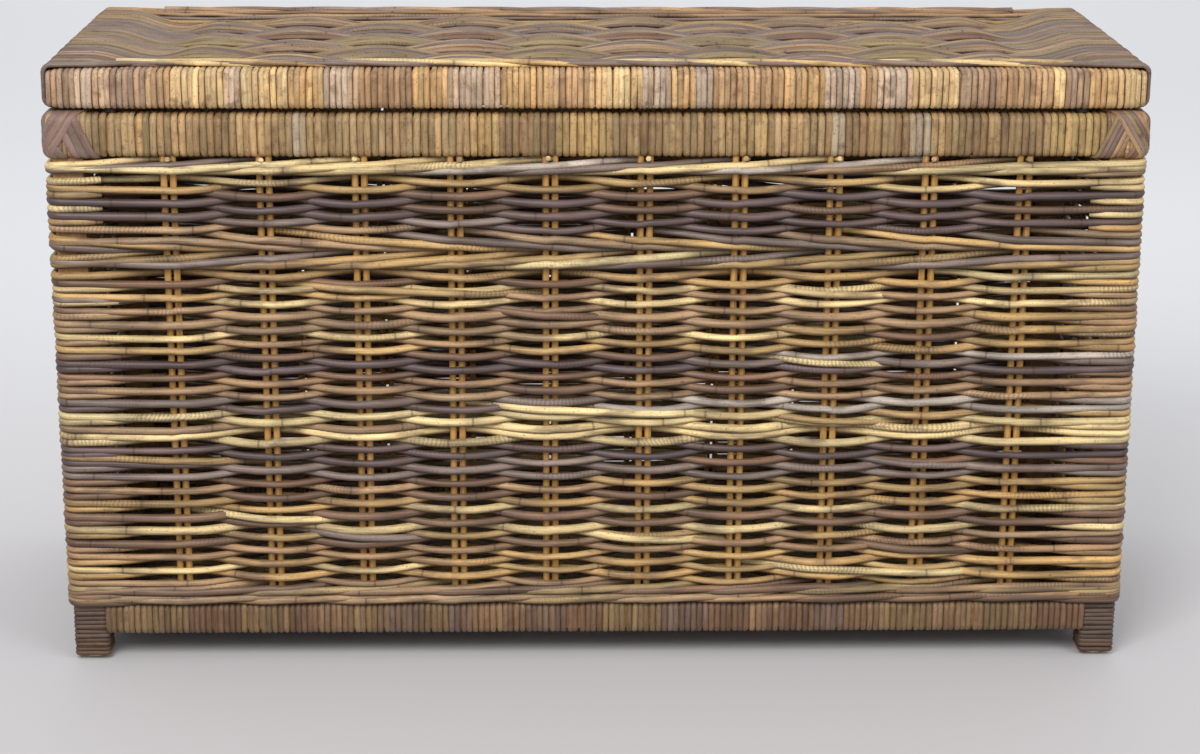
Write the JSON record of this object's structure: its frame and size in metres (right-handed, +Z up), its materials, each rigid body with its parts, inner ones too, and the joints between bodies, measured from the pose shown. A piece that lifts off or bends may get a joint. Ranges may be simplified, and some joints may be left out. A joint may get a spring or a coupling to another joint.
{
  "type": "wicker storage trunk",
  "caption": "Rectangular rattan trunk woven round a wrapped wooden frame, with short legs and a hinged woven lid.",
  "frame": {"origin": "on the floor under the middle of the trunk", "axes": "+X along the front, left to right; +Y from the front to the hinged back; +Z up"},
  "size_m": [1, 0.37, 0.571],
  "materials": {
    "kubu_rattan": "unpeeled grey kubu rattan, dry and dull",
    "lid_rattan": "thin grey and honey rattan strands",
    "wrapping_cane": "thin whole cane wound in close turns",
    "stake_rattan": "peeled golden rattan rods",
    "binding_peel": "flat dark rattan peel",
    "frame_wood": "plain sawn hardwood",
    "dowel_wood": "turned beech dowel",
    "hinge_steel": "dull plated steel",
    "screw_brass": "dull brass",
    "bumper_rubber": "matt dark rubber",
    "glide_plastic": "matt off-white plastic"
  },
  "bodies": {
    "trunk": {"post_front_left": "frame_wood", "foot_wrap_front_left": "wrapping_cane", "post_front_right": "frame_wood", "foot_wrap_front_right": "wrapping_cane", "post_back_left": "frame_wood", "foot_wrap_back_left": "wrapping_cane", "post_back_right": "frame_wood", "foot_wrap_back_right": "wrapping_cane", "base_rail_front": "frame_wood", "base_wrap_front": "wrapping_cane", "rim_rail_front": "frame_wood", "rim_wrap_front": "wrapping_cane", "stakes_front": "stake_rattan", "weave_front": "kubu_rattan", "base_rail_back": "frame_wood", "base_wrap_back": "wrapping_cane", "rim_rail_back": "frame_wood", "rim_wrap_back": "wrapping_cane", "stakes_back": "stake_rattan", "weave_back": "kubu_rattan", "base_rail_left": "frame_wood", "base_wrap_left": "wrapping_cane", "rim_rail_left": "frame_wood", "rim_wrap_left": "wrapping_cane", "stakes_left": "stake_rattan", "weave_left": "kubu_rattan", "base_rail_right": "frame_wood", "base_wrap_right": "wrapping_cane", "rim_rail_right": "frame_wood", "rim_wrap_right": "wrapping_cane", "stakes_right": "stake_rattan", "weave_right": "kubu_rattan", "wale_upper": "kubu_rattan", "wale_middle": "kubu_rattan", "wale_lower": "kubu_rattan", "base_weave": "kubu_rattan", "rim_corner_bindings": "binding_peel", "base_bars": "stake_rattan", "base_dowels": "dowel_wood", "rim_dowels": "dowel_wood", "hinge_leaves_rim": "hinge_steel", "hinge_pins": "hinge_steel", "rim_hinge_screws": "screw_brass", "glides": "glide_plastic"},
    "lid": {"lid_rail_front": "frame_wood", "lid_wrap_front": "wrapping_cane", "lid_rail_back": "frame_wood", "lid_wrap_back": "wrapping_cane", "lid_rail_left": "frame_wood", "lid_wrap_left": "wrapping_cane", "lid_rail_right": "frame_wood", "lid_wrap_right": "wrapping_cane", "lid_weave": "lid_rattan", "lid_edge_cords": "lid_rattan", "lid_bars": "stake_rattan", "lid_dowels": "dowel_wood", "lid_hinge_screws": "screw_brass", "lid_bumpers": "bumper_rubber", "hinge_leaves_lid": "hinge_steel"}
  },
  "joints": [
    {"name": "lid_hinge", "type": "hinge", "parent": "trunk", "child": "lid", "pos_m": [0, 0.1795, 0.5285], "axis": [-1, 0, 0], "range_deg": [0, 110]}
  ]
}
